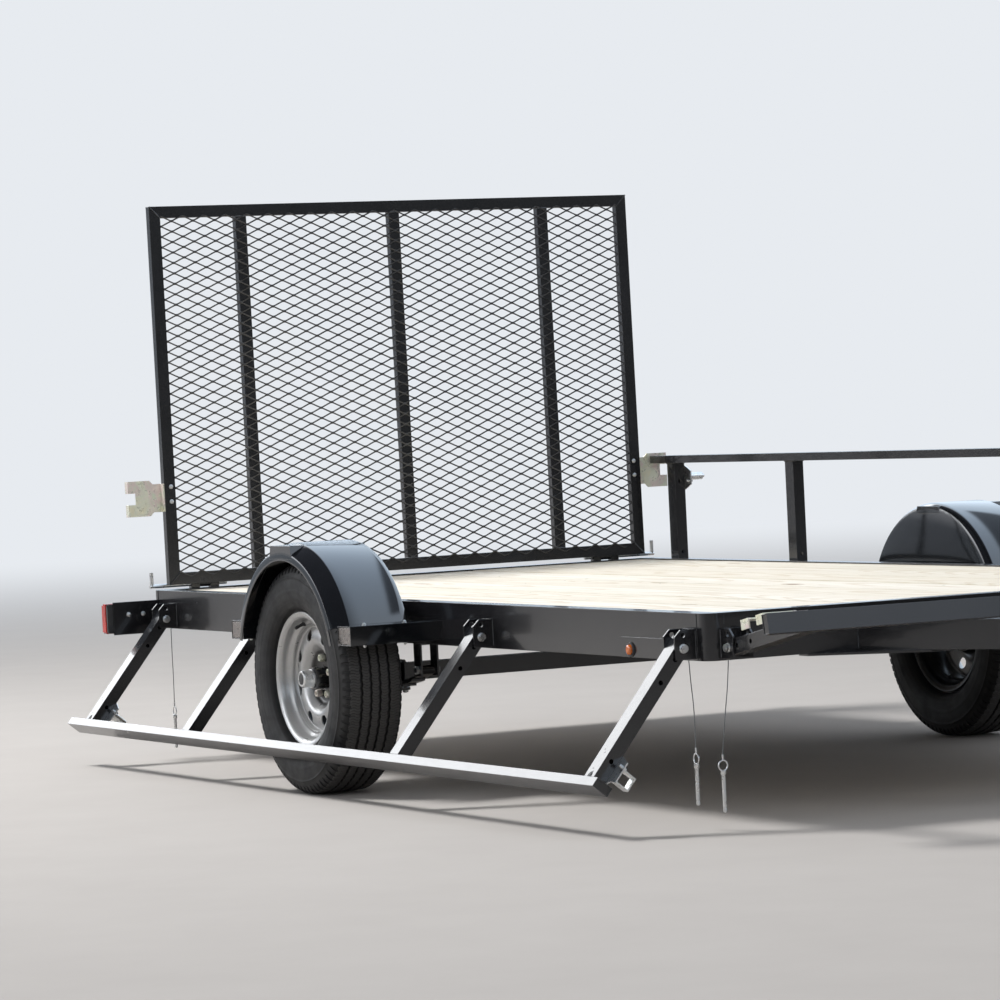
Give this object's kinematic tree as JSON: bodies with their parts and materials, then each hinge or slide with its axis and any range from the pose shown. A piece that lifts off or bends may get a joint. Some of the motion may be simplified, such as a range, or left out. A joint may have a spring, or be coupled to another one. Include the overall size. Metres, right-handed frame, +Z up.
{
  "type": "utility trailer",
  "caption": "Single-axle utility trailer with a pine plank deck, fold-down side and front rails, a mesh tail gate, steel wheels and an A-frame coupler with a jack.",
  "frame": {"origin": "centre of the coupler ball, 457 mm above the ground", "axes": "+X forward along the tongue, +Y to the left, +Z up from the deck"},
  "size_m": [4.829, 2.458, 1.7855],
  "materials": {
    "black_frame": "satin",
    "gloss_black": "gloss",
    "silver_wheel": "satin",
    "zinc": "satin",
    "yellow_zinc": "satin",
    "pine": "raw",
    "tyre_rubber": "matt",
    "red_lens": "gloss",
    "amber_lens": "gloss"
  },
  "bodies": {
    "frame": {"side_channels": "black_frame", "end_channels": "black_frame", "corner_posts": "black_frame", "crossmembers": "black_frame", "deck_boards": "pine", "tongue_leg_left": "black_frame", "tongue_leg_right": "black_frame", "tongue_gussets": "black_frame", "coupler": "black_frame", "coupler_latch": "zinc", "jack_tube": "black_frame", "jack_crank": "zinc", "axle": "black_frame", "leaf_springs": "black_frame", "spring_hangers": "black_frame", "axle_clamps": "black_frame", "fender_left": "gloss_black", "fender_right": "gloss_black", "fender_brackets": "gloss_black", "side_rail_brackets": "black_frame", "front_rail_brackets": "black_frame", "pivot_bolts": "zinc", "gate_hinge_lugs": "black_frame", "gate_hinge_pins": "zinc", "tail_lamp_plates": "black_frame", "tail_lenses": "red_lens", "marker_plates": "black_frame", "marker_lenses": "amber_lens", "lanyard_side": "zinc", "lanyard_front": "zinc", "lanyard_rear": "zinc", "lock_pins": "zinc"},
    "left_rail": {"left_rail_posts": "black_frame", "left_rail_bar": "black_frame", "left_rail_latches": "zinc"},
    "wheel_left": {"tyre_left": "tyre_rubber", "rim_left": "silver_wheel", "hub_left": "gloss_black", "grease_cap_left": "zinc", "lug_nuts_left": "yellow_zinc"},
    "right_rail": {"right_rail_posts": "black_frame", "right_rail_bar": "black_frame", "right_rail_latches": "zinc"},
    "wheel_right": {"tyre_right": "tyre_rubber", "rim_right": "silver_wheel", "hub_right": "gloss_black", "grease_cap_right": "zinc", "lug_nuts_right": "yellow_zinc"},
    "front_rail": {"front_rail_posts": "black_frame", "front_rail_bar": "black_frame", "front_rail_catch_plates": "yellow_zinc"},
    "gate": {"gate_frame": "black_frame", "gate_mesh": "black_frame", "gate_catch_plates": "yellow_zinc"},
    "jack_leg": {"jack_ram": "zinc"}
  },
  "joints": [
    {"name": "left_rail_hinge", "type": "hinge", "parent": "frame", "child": "left_rail", "pos_m": [-2.985, 0.9515, 0.001], "axis": [-1, 0, 0], "range_deg": [0, 141]},
    {"name": "right_rail_hinge", "type": "hinge", "parent": "frame", "child": "right_rail", "pos_m": [-2.985, -0.9515, 0.001], "axis": [-1, 0, 0], "range_deg": [0, 141]},
    {"name": "front_rail_hinge", "type": "hinge", "parent": "frame", "child": "front_rail", "pos_m": [-1.093, 0, 0.001], "axis": [0, -1, 0], "range_deg": [0, 79.5]},
    {"name": "gate_hinge", "type": "hinge", "parent": "frame", "child": "gate", "pos_m": [-4.766, 0, 0.1], "axis": [0, -1, 0], "range_deg": [0, 114]},
    {"name": "jack_slide", "type": "slide", "parent": "frame", "child": "jack_leg", "axis": [0, 0, 1], "range_m": [0, 0.3]},
    {"name": "wheel_left_axle", "type": "hinge", "parent": "frame", "child": "wheel_left", "pos_m": [-3.07, 1.0865, -0.125], "axis": [0, 1, 0], "continuous": true},
    {"name": "wheel_right_axle", "type": "hinge", "parent": "frame", "child": "wheel_right", "pos_m": [-3.07, -1.0865, -0.125], "axis": [0, 1, 0], "continuous": true}
  ]
}
